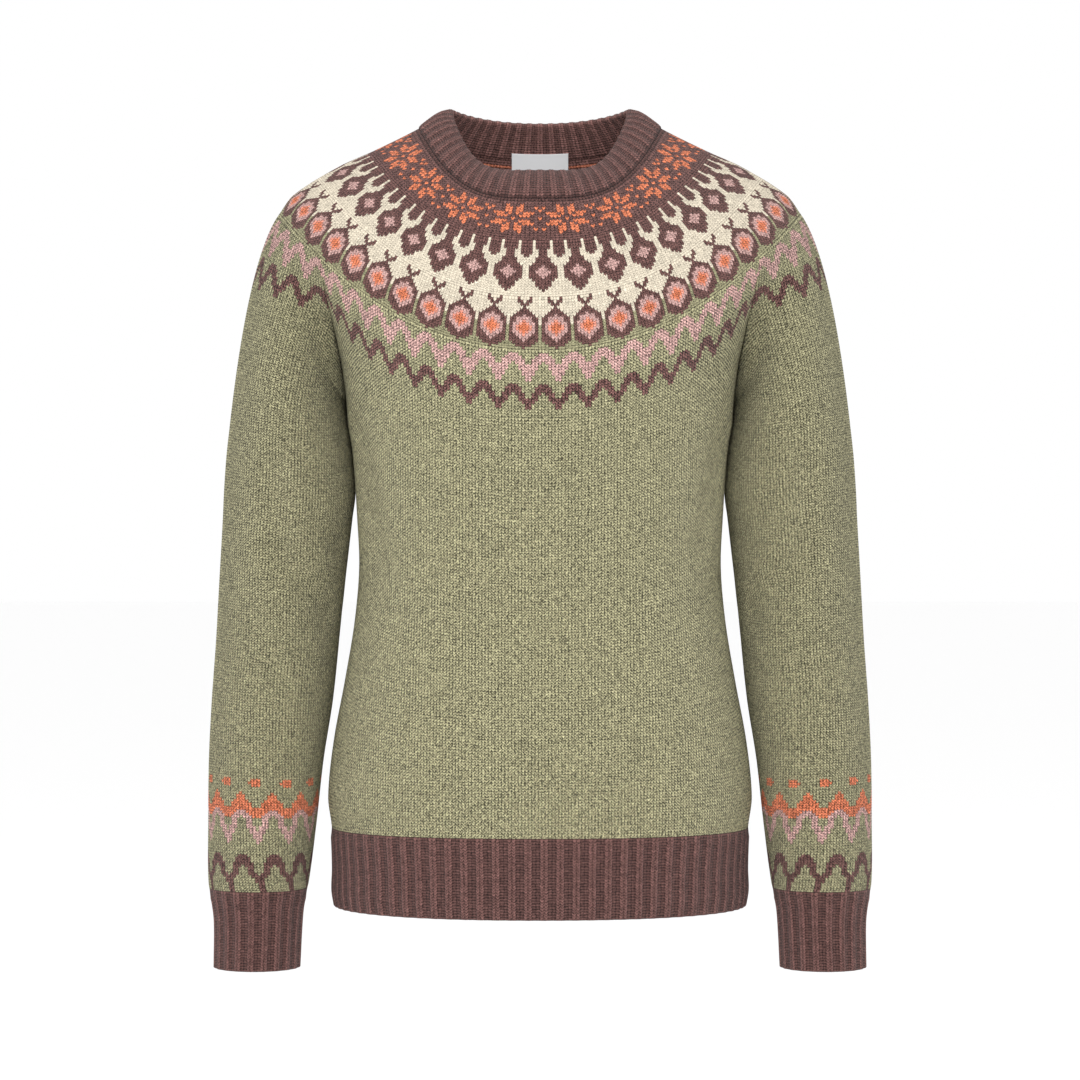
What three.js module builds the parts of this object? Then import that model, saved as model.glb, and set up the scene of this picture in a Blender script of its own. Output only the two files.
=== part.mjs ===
// A round-yoke jumper in stranded knitting, filled out as if worn, with nobody in it.
//
// Millimetres, +Z up. The front faces -Y and +X is the wearer's left. The origin is the centre of the
// neck at the height of the points where the neckband meets the shoulders.
//
// Every piece of cloth is a wall: a grid of points on one continuous outer surface, and the same grid
// moved in by the thickness of the cloth. The surface runs from the top of the neckband, over the yoke,
// and divides at the yoke's lower edge into the front, the back and two sleeves, as a jumper knitted
// from the neck down does.
import * as THREE from "three";

// Driving sizes
const CLOTH = 2.6; // thickness of the stranded and plain knitting
const RIB_BASE = 2.4; // thickness of the ribbing in its valleys
const RIB_RISE = 1.3; // how far a rib stands above its valleys
const BAND_BASE = 3.6; // the neckband is ribbing folded double
const SEAM_GAP = 0.3; // between any two pieces where they are sewn
const YOKE_DEPTH = 118; // measured down the cloth from the neckband seam
const BAND_HEIGHT = 33; // measured up the cloth from the neckband seam
const UNDERARM_Z = -225;
const RIB_TOP_Z = -539; // where the body meets its hem ribbing
const HEM_Z = -600;
const CUFF_TOP_Z = -585;
const CUFF_END_Z = -646;
const MID_Y = 4; // the side seams and underarm seams hang in this plane
const FRONT_SEAM_ANGLE = THREE.MathUtils.degToRad(53); // raglan seams, from the front centre
const BACK_SEAM_ANGLE = THREE.MathUtils.degToRad(127);
const HEM_RIBS = 38; // on the front, and as many on the back
const CUFF_RIBS = 20;
const NECK_RIBS = 56;
const RIB_POINTS = 4; // points across one rib and its valley

// Label at the back of the neck, hanging from the neckband seam
const LABEL = { width: 46, height: 30, top: -5, thickness: 1, clearance: 0.6 };

// Rings from the neckband's edge to the yoke's lower edge. drop is measured down the cloth from the
// neckband seam. A ring is an ellipse-like curve seen from above. It is lowest at the front and climbs
// to the shoulders.
const YOKE_RINGS = [
  { drop: -33, halfWidth: 69, front: 75, back: 57, squareness: 2.15,
    frontZ: -35, sideZ: 22, backZ: 16, climb: 4.7, backClimb: 2.2 },
  { drop: -16, halfWidth: 80.5, front: 88, back: 66, squareness: 2.1,
    frontZ: -45.5, sideZ: 14.5, backZ: 4, climb: 3.9, backClimb: 2.3 },
  { drop: 0, halfWidth: 94.5, front: 98, back: 74.5, squareness: 2.1,
    frontZ: -59, sideZ: 5, backZ: -10, climb: 3.3, backClimb: 2.4 },
  { drop: 28, halfWidth: 128.5, front: 106.5, back: 85, squareness: 2.1,
    frontZ: -86, sideZ: -12, backZ: -36.5, climb: 2.7, backClimb: 2.6 },
  { drop: 58, halfWidth: 157, front: 113.5, back: 93.5, squareness: 2.15,
    frontZ: -115, sideZ: -25, backZ: -65.5, climb: 2.45, backClimb: 2.5 },
  { drop: 100, halfWidth: 192, front: 119, back: 102, squareness: 2.2,
    frontZ: -156, sideZ: -47, backZ: -106.5, climb: 2.25, backClimb: 2.3 },
  { drop: 118, halfWidth: 203, front: 120.5, back: 104, squareness: 2.2,
    frontZ: -174, sideZ: -61.5, backZ: -124, climb: 2.2, backClimb: 2.2 },
];

// Level sections of the body below the underarm. front and back are distances from the axis.
const BODY_SECTIONS = [
  { z: -225, halfWidth: 149.85, front: 122, back: 104, squareness: 2.35 },
  { z: -250, halfWidth: 145.5, front: 121.5, back: 102.5, squareness: 2.35 },
  { z: -300, halfWidth: 142, front: 118.5, back: 98, squareness: 2.35 },
  { z: -335, halfWidth: 141, front: 115, back: 95.5, squareness: 2.35 },
  { z: -378, halfWidth: 144.3, front: 112.5, back: 97, squareness: 2.4 },
  { z: -425, halfWidth: 152, front: 113, back: 102, squareness: 2.4 },
  { z: -472, halfWidth: 160.7, front: 116, back: 107.5, squareness: 2.4 },
  { z: -515, halfWidth: 165, front: 118.5, back: 110.5, squareness: 2.4 },
  { z: -539, halfWidth: 162.2, front: 118, back: 109.5, squareness: 2.35 },
  { z: -570, halfWidth: 161, front: 118, back: 108.5, squareness: 2.25 },
  { z: -588, halfWidth: 161.5, front: 118.5, back: 109, squareness: 2.2 },
  { z: -600, halfWidth: 159.6, front: 118, back: 108, squareness: 2.2 },
];

// Level sections of the left sleeve. The arm hangs a little out and the forearm a little forward.
const SLEEVE_SECTIONS = [
  { z: -225, centreX: 196, centreY: 4, halfWidth: 45.85, halfDepth: 58 },
  { z: -250, centreX: 195.4, centreY: 4.5, halfWidth: 48.9, halfDepth: 57 },
  { z: -278, centreX: 195.4, centreY: 5, halfWidth: 50.9, halfDepth: 56 },
  { z: -300, centreX: 197.2, centreY: 5.5, halfWidth: 50.5, halfDepth: 55.5 },
  { z: -347, centreX: 201.2, centreY: 6, halfWidth: 49.2, halfDepth: 54 },
  { z: -394, centreX: 204.8, centreY: 4, halfWidth: 48, halfDepth: 52.5 },
  { z: -441, centreX: 208.7, centreY: 0, halfWidth: 47.1, halfDepth: 50.5 },
  { z: -487, centreX: 213, centreY: -6, halfWidth: 44.5, halfDepth: 47.5 },
  { z: -534, centreX: 215.4, centreY: -12, halfWidth: 42, halfDepth: 44.5 },
  { z: -581, centreX: 218, centreY: -17, halfWidth: 38.7, halfDepth: 41 },
  { z: -597, centreX: 218.2, centreY: -18.5, halfWidth: 34.8, halfDepth: 37 },
  { z: -612, centreX: 218.1, centreY: -19.5, halfWidth: 33.2, halfDepth: 35 },
  { z: -646, centreX: 218.9, centreY: -22, halfWidth: 32.4, halfDepth: 34.2 },
];

// Creases, each from one place to another on the cloth. turn is the angle round the piece in degrees,
// from the front centre on the body and from the outside of the arm on a sleeve, where the front of the
// arm is negative.
const SLEEVE_CREASES = [
  { fromTurn: -78, fromZ: -262, toTurn: -90, toZ: -328, width: 11, depth: 3 },
  { fromTurn: -90, fromZ: -328, toTurn: -145, toZ: -372, width: 12, depth: 4.5 },
  { fromTurn: -150, fromZ: -318, toTurn: -118, toZ: -300, width: 10, depth: 2 },
  { fromTurn: 150, fromZ: -345, toTurn: 95, toZ: -372, width: 13, depth: 3 },
  { fromTurn: 160, fromZ: -380, toTurn: 110, toZ: -402, width: 12, depth: 2.4 },
];
const BODY_CREASES = [
  { fromTurn: 66, fromZ: -238, toTurn: 58, toZ: -318, width: 16, depth: 3 },
  { fromTurn: 116, fromZ: -236, toTurn: 124, toZ: -306, width: 16, depth: 3 },
  { fromTurn: 76, fromZ: -345, toTurn: 48, toZ: -372, width: 14, depth: 2 },
  { fromTurn: 150, fromZ: -352, toTurn: 112, toZ: -334, width: 14, depth: 2.4 },
];
const SLEEVE_RADIUS = 50; // turns an angle round the arm into a length
const BODY_RADIUS = 135;

// Colours of the yarns
const GREEN = 0x8f9069;
const BROWN = 0x6b5149;
const CREAM = 0xe6d3b1;
const WHITE = 0xe9eaec;

const degrees = THREE.MathUtils.degToRad;
const lerp = THREE.MathUtils.lerp;

// A table's row at any value of its key column, each other column following a smooth curve through the
// rows.
function rowAt(table, key, value) {
  const rising = table[table.length - 1][key] > table[0][key] ? 1 : -1;
  let i = 0;
  while (i < table.length - 2 && rising * (value - table[i + 1][key]) > 0) i += 1;
  const before = table[Math.max(i - 1, 0)];
  const start = table[i];
  const end = table[i + 1];
  const after = table[Math.min(i + 2, table.length - 1)];
  const span = end[key] - start[key];
  const t = (value - start[key]) / span;
  const row = {};
  for (const column of Object.keys(start)) {
    const slopeIn = ((end[column] - before[column]) / (end[key] - before[key])) * span;
    const slopeOut = ((after[column] - start[column]) / (after[key] - start[key])) * span;
    row[column] = hermite(start[column], slopeIn, end[column], slopeOut, t);
  }
  row[key] = value;
  return row;
}

// The cubic that leaves start with one slope and reaches end with another.
function hermite(start, slopeIn, end, slopeOut, t) {
  const s = 1 - t;
  return s * s * (1 + 2 * t) * start + s * s * t * slopeIn + t * t * (3 - 2 * t) * end - t * t * s * slopeOut;
}

// The same cubic through space.
function hermitePoint(start, leaving, end, arriving, t) {
  const point = new THREE.Vector3();
  for (const axis of ["x", "y", "z"]) {
    point[axis] = hermite(start[axis], leaving[axis], end[axis], arriving[axis], t);
  }
  return point;
}

// A point of an ellipse-like curve round the vertical axis. angle is 0 at the front and a quarter turn
// at the wearer's left. Above a squareness of 2 the curve is fuller than an ellipse.
function roundPoint(section, angle) {
  const across = Math.sin(angle);
  const ahead = Math.cos(angle);
  const power = section.squareness;
  const reach = (Math.abs(across) ** power + Math.abs(ahead) ** power) ** (-1 / power);
  const depth = ahead > 0 ? section.front + MID_Y : section.back - MID_Y;
  return new THREE.Vector3(section.halfWidth * across * reach, MID_Y - depth * ahead * reach, section.z ?? 0);
}

// The outer surface from the neckband's edge to the yoke's lower edge.
function yokePoint(angle, drop) {
  const ring = rowAt(YOKE_RINGS, "drop", drop);
  const point = roundPoint(ring, angle);
  const ahead = Math.cos(angle) > 0;
  const climb = ahead ? ring.climb : ring.backClimb;
  const share = 1 - Math.min(1, Math.abs(point.x) / ring.halfWidth) ** climb;
  point.z = lerp(ring.sideZ, ahead ? ring.frontZ : ring.backZ, share);
  return point;
}

// Shares out the length of a curve that runs round a piece at one level. The function that it returns
// gives the angle at which a share of the length between two angles has been passed.
const CURVE_SAMPLES = 60;
function evenAngles(curve, from, to) {
  const levels = new Map();
  const measure = (level) => {
    const lengths = [0];
    let last = curve(from, level);
    for (let i = 1; i <= CURVE_SAMPLES; i += 1) {
      const next = curve(lerp(from, to, i / CURVE_SAMPLES), level);
      lengths.push(lengths[i - 1] + next.distanceTo(last));
      last = next;
    }
    return lengths;
  };
  return (share, level) => {
    if (!levels.has(level)) levels.set(level, measure(level));
    const lengths = levels.get(level);
    const wanted = share * lengths[CURVE_SAMPLES];
    let i = 0;
    while (i < CURVE_SAMPLES - 1 && lengths[i + 1] < wanted) i += 1;
    const part = (wanted - lengths[i]) / (lengths[i + 1] - lengths[i]);
    return lerp(from, to, (i + part) / CURVE_SAMPLES);
  };
}

// How far creases press a place inwards. place and line ends are lengths round and down the piece.
function creaseDepth(creases, radius, turn, z) {
  let depth = 0;
  for (const crease of creases) {
    const from = new THREE.Vector2(degrees(crease.fromTurn) * radius, crease.fromZ);
    const along = new THREE.Vector2(degrees(crease.toTurn) * radius, crease.toZ).sub(from);
    const place = new THREE.Vector2(turn * radius, z).sub(from);
    const share = THREE.MathUtils.clamp(place.dot(along) / along.lengthSq(), 0, 1);
    const away = place.addScaledVector(along, -share).length() / crease.width;
    depth += crease.depth * Math.exp(-away * away);
  }
  return depth;
}

// The body's outer surface below the underarm.
function bodyPoint(angle, z) {
  const section = rowAt(BODY_SECTIONS, "z", z);
  const point = roundPoint(section, angle);
  const turn = Math.abs(Math.atan2(Math.sin(angle), Math.cos(angle)));
  const pressed = creaseDepth(BODY_CREASES, BODY_RADIUS, turn, z);
  const flat = Math.hypot(point.x, point.y - MID_Y);
  point.x -= (point.x / flat) * pressed;
  point.y -= ((point.y - MID_Y) / flat) * pressed;
  return point;
}

// The left sleeve's outer surface below the underarm. turn is 0 outside the arm and negative in front
// of it.
function sleevePoint(turn, z) {
  const section = rowAt(SLEEVE_SECTIONS, "z", z);
  const pressed = creaseDepth(SLEEVE_CREASES, SLEEVE_RADIUS, turn, z);
  return new THREE.Vector3(
    section.centreX + (section.halfWidth - pressed) * Math.cos(turn),
    section.centreY + (section.halfDepth - pressed) * Math.sin(turn),
    z,
  );
}

// The cloth between the yoke's lower edge and the underarm: curves that leave the yoke the way it
// slopes and arrive the way the body or the sleeve hangs. nearSeam is 0 in the middle of a piece and 1
// at its raglan seams, where the curve leaves leaning towards the middle of the body and arrives
// straight down.
const STEP = 1; // a short way down, to measure slopes over
const LEAVING = 0.62;
const SEAM_LEAN = 0.9;
const SEAM_SHARPNESS = 4;
function betweenPoint(angle, below, nearSeam, t) {
  const start = yokePoint(angle, YOKE_DEPTH);
  const leaving = start.clone().sub(yokePoint(angle, YOKE_DEPTH - STEP)).normalize();
  const towardsMiddle = -Math.sign(Math.sin(angle) * Math.cos(angle));
  const aside = yokePoint(angle + towardsMiddle * 0.01, YOKE_DEPTH).sub(start).normalize();
  const seam = nearSeam ** SEAM_SHARPNESS;
  leaving.addScaledVector(aside, SEAM_LEAN * seam).normalize();
  const end = below(UNDERARM_Z);
  const arriving = below(UNDERARM_Z - STEP).sub(end).normalize();
  arriving.lerp(new THREE.Vector3(0, 0, -1), seam).normalize();
  const length = start.distanceTo(end);
  leaving.multiplyScalar(LEAVING * length);
  return hermitePoint(start, leaving, end, arriving.multiplyScalar(length), t);
}

// Each piece is a function of across, from -1 to 1 in even steps over the cloth, and down: 0 to 1 from
// the yoke to the underarm and 1 to 2 from there to the ribbing.
const HALF_TURN = Math.PI / 2;
const frontEdge = evenAngles(yokePoint, -FRONT_SEAM_ANGLE, FRONT_SEAM_ANGLE);
const backEdge = evenAngles(yokePoint, BACK_SEAM_ANGLE, 2 * Math.PI - BACK_SEAM_ANGLE);
const sleeveEdge = evenAngles(yokePoint, FRONT_SEAM_ANGLE, BACK_SEAM_ANGLE);
const frontAngle = evenAngles(bodyPoint, -HALF_TURN, HALF_TURN);
const backAngle = evenAngles(bodyPoint, HALF_TURN, 3 * HALF_TURN);
const sleeveTurn = evenAngles(sleevePoint, -Math.PI, Math.PI);

function pieceSurface(edge, angleAt, point, lowZ) {
  return (across, down) => {
    const share = (across + 1) / 2;
    const z = lerp(UNDERARM_Z, lowZ, Math.max(down - 1, 0));
    const angle = angleAt(share, z);
    if (down > 1) return point(angle, z);
    return betweenPoint(edge(share, YOKE_DEPTH), (level) => point(angle, level), Math.abs(across), down);
  };
}
const frontSurface = pieceSurface(frontEdge, frontAngle, bodyPoint, RIB_TOP_Z);
const backSurface = pieceSurface(backEdge, backAngle, bodyPoint, RIB_TOP_Z);
const sleeveSurface = pieceSurface(sleeveEdge, sleeveTurn, sleevePoint, CUFF_TOP_Z);

// The outward normal of a surface, from its slopes across and down.
function normalAt(surface, across, down, limits) {
  const reach = 1e-3;
  const left = Math.max(across - reach, limits.across[0]);
  const right = Math.min(across + reach, limits.across[1]);
  const up = Math.max(down - reach, limits.down[0]);
  const low = Math.min(down + reach, limits.down[1]);
  const acrossWay = surface(right, down).sub(surface(left, down));
  const downWay = surface(across, low).sub(surface(across, up));
  return downWay.cross(acrossWay).normalize();
}

// Moves the end points of a line of points inwards by half a seam gap.
function openSeams(line) {
  const last = line.length - 1;
  const first = line[1].clone().sub(line[0]).setLength(SEAM_GAP / 2);
  const final = line[last - 1].clone().sub(line[last]).setLength(SEAM_GAP / 2);
  line[0].add(first);
  line[last].add(final);
}

// A grid of points on a surface, each moved out along its normal by lift(column). down lists the rows.
// Open pieces stop half a seam gap short of their sides, and all pieces short of their top and bottom.
function grid(surface, { down, columns, span = [-1, 1], closed = false, lift, limits, trim = [true, true] }) {
  const rows = down.map((d) => {
    const line = [];
    const count = closed ? columns : columns + 1;
    for (let c = 0; c < count; c += 1) {
      const across = lerp(span[0], span[1], c / columns);
      line.push(surface(across, d).addScaledVector(normalAt(surface, across, d, limits), lift(c, d)));
    }
    if (!closed) openSeams(line);
    return line;
  });
  for (let c = 0; c < rows[0].length; c += 1) {
    const column = rows.map((line) => line[c]);
    const ends = [column[0].clone(), column[column.length - 1].clone()];
    openSeams(column);
    if (!trim[0]) column[0].copy(ends[0]);
    if (!trim[1]) column[column.length - 1].copy(ends[1]);
  }
  return rows;
}

// A closed wall between an outer and an inner grid. The outer one may have several columns for each
// inner one.
function wall(outer, inner, closed) {
  const points = [];
  const faces = [];
  const number = (rows) => rows.map((line) => line.map((point) => points.push(point) - 1));
  const apart = (a, b) => points[a].distanceTo(points[b]);
  const out = number(outer);
  const inn = number(inner);
  const rows = out.length;
  const columns = closed ? inn[0].length : inn[0].length - 1;
  const ratio = (closed ? out[0].length : out[0].length - 1) / columns;
  const at = (line, c) => line[c % line.length];
  const skin = (sheet, count, flip) => {
    for (let r = 0; r < rows - 1; r += 1) {
      for (let c = 0; c < count; c += 1) {
        const a = at(sheet[r], c);
        const b = at(sheet[r], c + 1);
        const d = at(sheet[r + 1], c);
        const e = at(sheet[r + 1], c + 1);
        const halves = apart(a, e) < apart(b, d) ? [[a, d, e], [a, e, b]] : [[a, d, b], [b, d, e]];
        for (const half of halves) faces.push(flip ? half.reverse() : half);
      }
    }
  };
  skin(out, columns * ratio, false);
  skin(inn, columns, true);
  for (const [r, flip] of [[0, false], [rows - 1, true]]) {
    for (let c = 0; c < columns; c += 1) {
      const rim = [];
      for (let k = 0; k < ratio; k += 1) {
        rim.push([at(inn[r], c), at(out[r], c * ratio + k), at(out[r], c * ratio + k + 1)]);
      }
      rim.push([at(inn[r], c), at(out[r], (c + 1) * ratio), at(inn[r], c + 1)]);
      for (const [a, b, d] of rim) faces.push(flip ? [a, d, b] : [a, b, d]);
    }
  }
  if (!closed) {
    for (const [side, flip] of [[0, true], [-1, false]]) {
      for (let r = 0; r < rows - 1; r += 1) {
        const a = out[r].at(side);
        const b = out[r + 1].at(side);
        const d = inn[r].at(side);
        const e = inn[r + 1].at(side);
        if (flip) faces.push([a, d, b], [b, d, e]);
        else faces.push([a, b, d], [b, e, d]);
      }
    }
  }
  const geometry = new THREE.BufferGeometry();
  geometry.setFromPoints(points);
  geometry.setIndex(faces.flat());
  geometry.computeVertexNormals();
  return geometry;
}

// Rows spaced evenly over each stretch between the listed stops.
function stops(list, counts) {
  const rows = [list[0]];
  counts.forEach((count, i) => {
    for (let k = 1; k <= count; k += 1) rows.push(lerp(list[i], list[i + 1], k / count));
  });
  return rows;
}

const jumper = new THREE.Group();

function addPiece(name, geometry, colour, mirrored = false) {
  const material = new THREE.MeshStandardMaterial({ color: colour, roughness: 0.95, metalness: 0 });
  const mesh = new THREE.Mesh(geometry, material);
  mesh.name = name;
  if (mirrored) mesh.scale.x = -1;
  jumper.add(mesh);
}

// A flat-knitted piece, plain inside and out.
function panel(surface, down, columns, closed = false, span = [-1, 1]) {
  const limits = { across: [span[0], span[1]], down: [down[0], down[down.length - 1]] };
  if (closed) limits.across = [-Infinity, Infinity];
  const shape = { down, columns, closed, span, limits };
  const outer = grid(surface, { ...shape, lift: () => 0 });
  const inner = grid(surface, { ...shape, lift: () => -CLOTH });
  return wall(outer, inner, closed);
}

// A ribbed piece: ribs raised in its outer points, and a plain inside with one column for each rib.
function ribbing(surface, down, ribs, { base, closed, span = [-1, 1], trim, roundTop = false }) {
  const limits = { across: closed ? [-Infinity, Infinity] : span, down: [down[0], down[down.length - 1]] };
  const shape = { down, closed, span, limits, trim };
  const raised = (c) => (c % RIB_POINTS < 2 ? RIB_RISE : 0);
  const round = (d) => (roundTop && d === down[0] ? BAND_BASE / 3 : 0);
  const outer = grid(surface, { ...shape, columns: ribs * RIB_POINTS, lift: (c, d) => raised(c) - round(d) });
  const inner = grid(surface, { ...shape, columns: ribs, lift: (c, d) => -base + round(d) });
  return wall(outer, inner, closed);
}

// The yoke: a ring knitted round, from the neckband seam to just below the roundels. Its columns line
// up with those of the pieces below it.
const PANEL_COLUMNS = 24;
const rightEdge = evenAngles(yokePoint, -BACK_SEAM_ANGLE, -FRONT_SEAM_ANGLE);
const YOKE_QUARTERS = [frontEdge, sleeveEdge, backEdge, rightEdge];
function yokeSurface(across, drop) {
  const around = THREE.MathUtils.euclideanModulo(across, YOKE_QUARTERS.length);
  const quarter = Math.floor(around);
  return yokePoint(YOKE_QUARTERS[quarter](around - quarter, drop), drop);
}
addPiece("yoke", panel(yokeSurface, stops([0, YOKE_DEPTH], [8]), PANEL_COLUMNS * 4, true, [0, 4]), CREAM);

// The neckband: double ribbing picked up round the neck, its fold at the top.
const bandAngle = evenAngles(yokePoint, 0, 2 * Math.PI);
function bandSurface(across, drop) {
  const around = THREE.MathUtils.euclideanModulo((across + 1) / 2, 1);
  return yokePoint(bandAngle(around, drop), drop);
}
addPiece(
  "neckband",
  ribbing(bandSurface, stops([-BAND_HEIGHT, -BAND_HEIGHT + 3, 0], [1, 2]), NECK_RIBS, {
    base: BAND_BASE,
    closed: true,
    trim: [false, true],
    roundTop: true,
  }),
  BROWN,
);

// Front and back, and the hem ribbing below each.
const bodyRows = stops([0, 1, 2], [6, 8]);
const hemRows = stops([RIB_TOP_Z, HEM_Z], [3]);
addPiece("front", panel(frontSurface, bodyRows, PANEL_COLUMNS), GREEN);
addPiece("back", panel(backSurface, bodyRows, PANEL_COLUMNS), GREEN);
for (const [name, angleAt] of [["hem_rib_front", frontAngle], ["hem_rib_back", backAngle]]) {
  const surface = (across, z) => bodyPoint(angleAt((across + 1) / 2, z), z);
  const kind = { base: RIB_BASE, closed: false, trim: [true, false] };
  addPiece(name, ribbing(surface, hemRows, HEM_RIBS, kind), BROWN);
}

// Sleeves and cuffs, the right ones mirrored.
const sleeveRows = stops([0, 1, 2], [6, 10]);
const cuffRows = stops([CUFF_TOP_Z, CUFF_TOP_Z - 20, CUFF_END_Z], [2, 1]);
const cuffSurface = (across, z) => sleevePoint(across * Math.PI, z);
for (const [side, mirrored] of [["left", false], ["right", true]]) {
  addPiece(`sleeve_${side}`, panel(sleeveSurface, sleeveRows, PANEL_COLUMNS), GREEN, mirrored);
  const kind = { base: RIB_BASE, closed: true, trim: [true, false] };
  addPiece(`cuff_${side}`, ribbing(cuffSurface, cuffRows, CUFF_RIBS, kind), BROWN, mirrored);
}

// The label: a small strip that hangs inside the back of the neck from the neckband seam.
function labelSurface(across, drop) {
  const ring = rowAt(YOKE_RINGS, "drop", drop);
  const angle = Math.PI + Math.asin((across * LABEL.width) / 2 / ring.halfWidth);
  const limits = { across: [-Infinity, Infinity], down: [-BAND_HEIGHT, YOKE_DEPTH] };
  const normal = normalAt(yokePoint, angle, drop, limits);
  return yokePoint(angle, drop).addScaledVector(normal, -BAND_BASE - LABEL.clearance);
}
const labelEnds = [LABEL.top, LABEL.top + LABEL.height];
const labelLimits = { across: [-1, 1], down: labelEnds };
const labelShape = { down: stops(labelEnds, [3]), columns: 6, limits: labelLimits };
addPiece(
  "neck_label",
  wall(
    grid(labelSurface, { ...labelShape, lift: () => 0 }),
    grid(labelSurface, { ...labelShape, lift: () => -LABEL.thickness }),
    false,
  ),
  WHITE,
);

export default jumper;
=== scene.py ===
import bpy
import numpy as np
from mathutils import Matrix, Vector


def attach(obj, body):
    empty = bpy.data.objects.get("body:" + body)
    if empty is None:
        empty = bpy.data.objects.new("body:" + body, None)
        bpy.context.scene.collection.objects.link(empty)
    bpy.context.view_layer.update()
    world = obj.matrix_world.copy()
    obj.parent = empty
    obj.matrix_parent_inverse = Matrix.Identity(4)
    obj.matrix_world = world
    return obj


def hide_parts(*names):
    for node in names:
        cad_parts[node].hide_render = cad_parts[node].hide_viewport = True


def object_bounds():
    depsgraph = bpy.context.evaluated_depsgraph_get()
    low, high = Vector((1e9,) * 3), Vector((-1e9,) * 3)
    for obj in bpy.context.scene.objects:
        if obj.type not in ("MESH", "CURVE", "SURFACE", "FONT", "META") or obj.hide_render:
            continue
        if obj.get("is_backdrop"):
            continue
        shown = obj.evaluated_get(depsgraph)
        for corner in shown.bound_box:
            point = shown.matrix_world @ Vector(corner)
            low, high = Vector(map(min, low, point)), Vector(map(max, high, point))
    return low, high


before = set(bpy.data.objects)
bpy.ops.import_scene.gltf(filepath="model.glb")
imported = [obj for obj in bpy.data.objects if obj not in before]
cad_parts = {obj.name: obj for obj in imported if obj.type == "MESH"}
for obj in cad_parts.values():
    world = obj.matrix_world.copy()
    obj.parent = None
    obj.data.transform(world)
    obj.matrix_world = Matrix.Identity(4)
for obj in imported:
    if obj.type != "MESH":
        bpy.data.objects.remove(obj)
cad_low, cad_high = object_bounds()

# The yoke: a ring knitted round in stranded knitting, stars on brown at the top, then drops, then
# roundels on green at its lower edge. It is one wool in four colours, three bands that each have more
# stitches than the one above, as the knitter increases on the way down.
YOKE_DEPTH = 118  # in millimetres, as every length here until a piece is built
YOKE_ROWS = 56
STITCH = 2.5  # width of a stitch
ROW = YOKE_DEPTH / YOKE_ROWS  # height of a row
CLOTH = 2.6  # thickness of the knitting
MID_Y = 4  # how far behind the frame's middle the garment's own middle lies
SEAM = 0.03  # what each piece keeps back from a seam
SUNK = 0.45  # how far the sides of a stitch lie under its middle
LEG_DROP = 0.7  # how far the middle of a stitch hangs below its sides, in rows

# drop, half width, front, back, squareness, front z, side z, back z, climb, back climb
YOKE_RINGS = np.array([
    (-33, 69, 75, 57, 2.15, -35, 22, 16, 4.7, 2.2),
    (-16, 80.5, 88, 66, 2.1, -45.5, 14.5, 4, 3.9, 2.3),
    (0, 94.5, 98, 74.5, 2.1, -59, 5, -10, 3.3, 2.4),
    (28, 128.5, 106.5, 85, 2.1, -86, -12, -36.5, 2.7, 2.6),
    (58, 157, 113.5, 93.5, 2.15, -115, -25, -65.5, 2.45, 2.5),
    (100, 192, 119, 102, 2.2, -156, -47, -106.5, 2.25, 2.3),
    (118, 203, 120.5, 104, 2.2, -174, -61.5, -124, 2.2, 2.2),
])


def linear(text):
    """A colour written as six hexadecimal digits, as linear light: each share c becomes c / 12.92 below
    0.04045 and ((c + 0.055) / 1.055) to the power 2.4 above it."""
    c = np.array([int(text[i : i + 2], 16) for i in (0, 2, 4)]) / 255
    return np.where(c < 0.04045, c / 12.92, ((c + 0.055) / 1.055) ** 2.4)


YARNS = {
    "G": linear("8a8669"),
    "B": linear("5f433f"),
    "C": linear("d0c5b1"),
    "P": linear("b4908a"),
    "O": linear("c26f4f"),
    "S": linear("d18976"),
}


def hermite(start, leaving, end, arriving, t):
    """The cubic that leaves start with one slope and reaches end with another, at share t."""
    s = 1 - t
    from_start = s * s * (1 + 2 * t) * start + s * s * t * leaving
    return from_start + t * t * (3 - 2 * t) * end - t * t * s * arriving


def row_at(table, value):
    """A table's row at any value of its first column. Each other column follows a cubic through the
    rows, whose slope at a row is that of the line joining its two neighbours."""
    keys = table[:, 0] if table[-1, 0] > table[0, 0] else -table[:, 0]
    wanted = value if table[-1, 0] > table[0, 0] else -value
    i = np.clip(np.searchsorted(keys, wanted) - 1, 0, len(keys) - 2)
    before, after = np.maximum(i - 1, 0), np.minimum(i + 2, len(keys) - 1)
    span = keys[i + 1] - keys[i]
    t = ((wanted - keys[i]) / span)[..., None]
    leaving = (table[i + 1] - table[before]) * (span / (keys[i + 1] - keys[before]))[..., None]
    arriving = (table[after] - table[i]) * (span / (keys[after] - keys[i]))[..., None]
    return np.moveaxis(hermite(table[i], leaving, table[i + 1], arriving, t), -1, 0)


def round_point(half_width, front, back, squareness, angle):
    """x and y on an ellipse-like curve: the sine and cosine of the angle, each divided by the root of
    the sum of their powers, times the half width and the depth ahead or behind."""
    across, ahead = np.sin(angle), np.cos(angle)
    reach = (np.abs(across) ** squareness + np.abs(ahead) ** squareness) ** (-1 / squareness)
    depth = np.where(ahead > 0, front + MID_Y, back - MID_Y)
    return half_width * across * reach, MID_Y - depth * ahead * reach


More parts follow.
